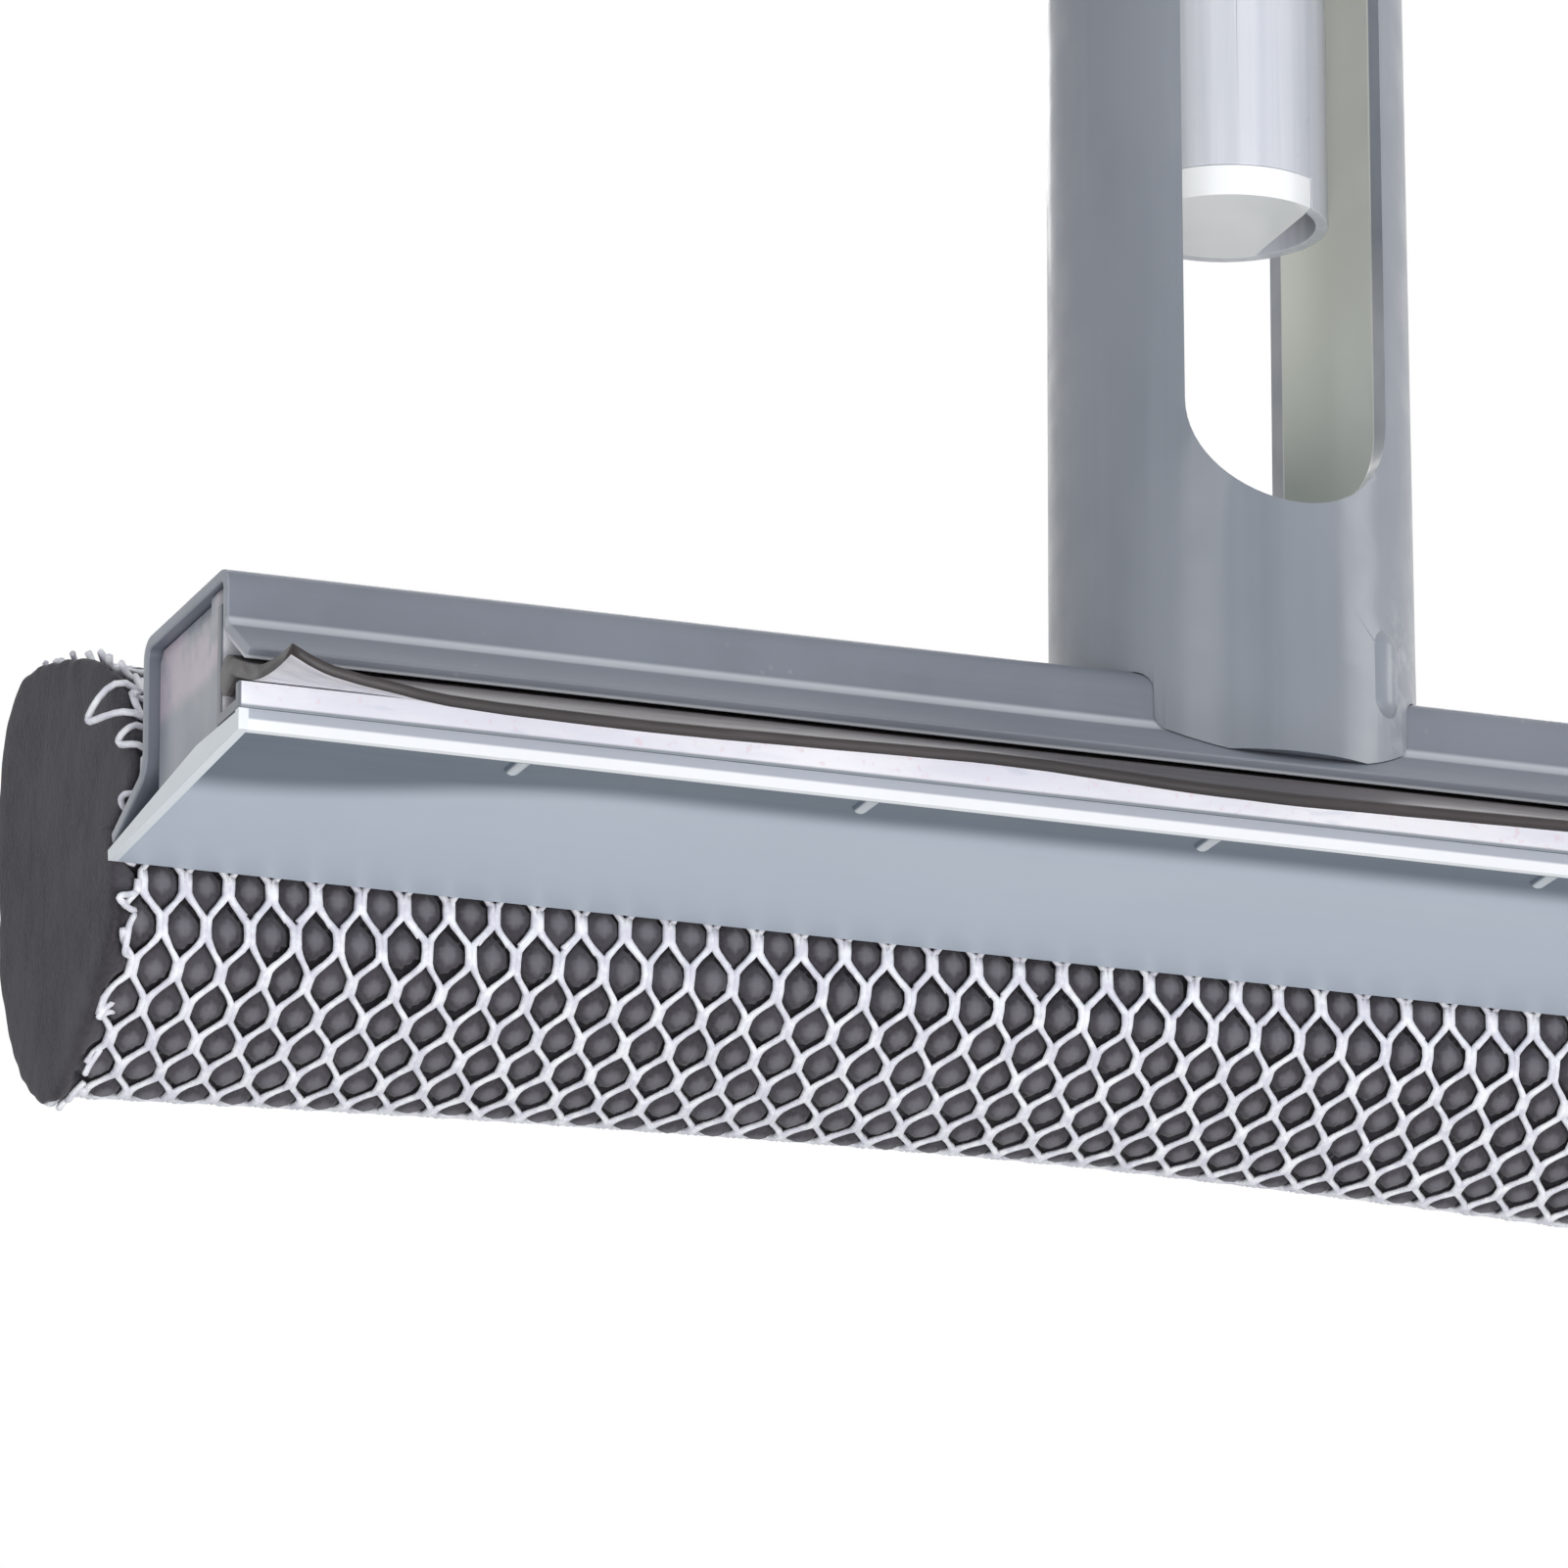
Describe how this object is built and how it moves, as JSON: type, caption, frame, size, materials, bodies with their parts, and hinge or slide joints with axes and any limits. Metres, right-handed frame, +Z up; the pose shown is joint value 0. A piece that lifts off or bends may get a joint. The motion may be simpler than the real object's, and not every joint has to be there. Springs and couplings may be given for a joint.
{
  "type": "window squeegee",
  "caption": "Window squeegee with a folded metal head, a rubber blade, a netted foam sponge and a slotted socket that takes a tubular pole.",
  "frame": {"origin": "centre of the hanging hole in the grip's cap", "axes": "+Z up the pole away from the head, +X along the head, +Y towards the sponge"},
  "size_m": [0.2032, 0.0889, 0.3971],
  "materials": {
    "shell": "satin",
    "tray": "satin",
    "jaw": "bright",
    "blade": "matt",
    "end_cap": "satin",
    "foam": "open cell foam",
    "net": "knitted net",
    "clamp": "satin",
    "rivet": "satin",
    "socket": "satin moulded",
    "backing": "satin",
    "screw": "bright",
    "bush": "matt",
    "pole": "satin",
    "plug": "white",
    "grip": "matt"
  },
  "bodies": {
    "head": {"head_shell": "shell", "tray_plate": "tray", "blade_jaw": "jaw", "left_end_cap": "end_cap", "right_end_cap": "end_cap", "foam_sponge": "foam", "net_sleeve": "net", "net_clamp_strip": "clamp", "clamp_rivets": "rivet", "handle_socket": "socket", "socket_backing_plate": "backing", "socket_screws": "screw", "socket_bush": "bush"},
    "blade": {"rubber_blade": "blade"},
    "pole": {"pole_tube": "pole", "pole_end_plug": "plug", "pole_stop_collar": "bush", "grip_sleeve": "grip", "grip_cap": "bush", "grip_pin": "screw"}
  },
  "joints": [
    {"name": "pole_slide", "type": "slide", "parent": "head", "child": "pole", "axis": [0, 0, 1], "range_m": [0, 0.08]},
    {"name": "blade_slide", "type": "slide", "parent": "head", "child": "blade", "axis": [1, 0, 0], "range_m": [0, 0.205]}
  ]
}
